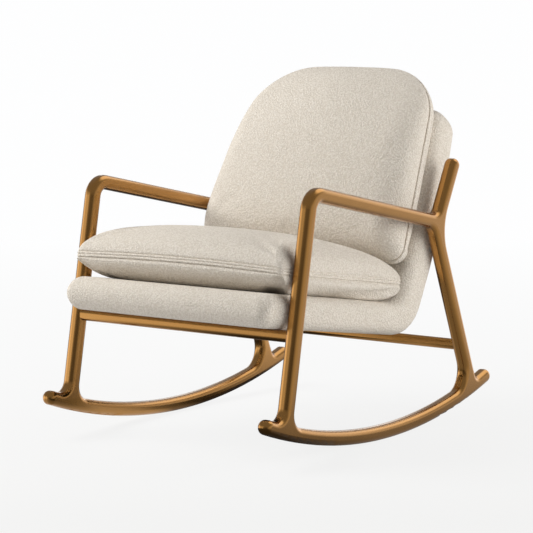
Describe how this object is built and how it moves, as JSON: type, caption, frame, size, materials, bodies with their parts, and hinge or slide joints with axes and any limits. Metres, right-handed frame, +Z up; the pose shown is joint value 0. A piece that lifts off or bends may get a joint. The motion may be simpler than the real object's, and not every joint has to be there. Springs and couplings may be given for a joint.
{
  "type": "upholstered rocking chair",
  "caption": "Rocking chair with bent bronze-finish metal side frames on curved rockers, an upholstered one-piece seat-and-back shell and loose seat and back cushions.",
  "frame": {"origin": "on the floor, midway between the two rockers and midway between their front and rear tips; also the centre of the bounding box's bottom", "axes": "+Z up, the chair faces -Y, +X towards the arm on the viewer's right when looking at its front"},
  "size_m": [0.636, 0.934, 0.8331],
  "materials": {
    "bronze": "satin bronze lacquer",
    "upholstery": "nubby cream weave",
    "foam": "open-cell foam",
    "plywood": "raw moulded plywood",
    "hardwood": "raw beech",
    "steel": "zinc plated",
    "dust_cloth": "thin black cloth"
  },
  "bodies": {
    "frame": {"right_rocker": "bronze", "left_rocker": "bronze", "right_leg_and_arm": "bronze", "left_leg_and_arm": "bronze", "right_rear_post": "bronze", "left_rear_post": "bronze", "leg_dowels": "steel", "arm_dowels": "steel", "front_rail": "bronze", "rear_rail": "bronze", "rail_spigots": "steel", "rail_set_screws": "steel", "shell_board": "plywood", "shell_side_blocks": "hardwood", "shell_pins": "steel", "shell_front_foam": "foam", "shell_rear_foam": "foam", "shell_cover": "upholstery", "shell_bolts": "steel", "shell_tee_nuts": "steel", "shell_dust_cover": "dust_cloth"},
    "seat_cushion": {"seat_cushion_cover": "upholstery", "seat_cushion_core": "foam", "seat_cushion_welt": "upholstery"},
    "back_cushion": {"back_cushion_cover": "upholstery", "back_cushion_core": "foam", "back_cushion_welt": "upholstery"}
  },
  "joints": [
    {"name": "seat_cushion_slide", "type": "slide", "parent": "frame", "child": "seat_cushion", "axis": [0, -0.989, 0.1478], "range_m": [0, 0.5]},
    {"name": "back_cushion_lift", "type": "slide", "parent": "frame", "child": "back_cushion", "axis": [0, 0.4648, 0.8854], "range_m": [0, 0.45]}
  ]
}
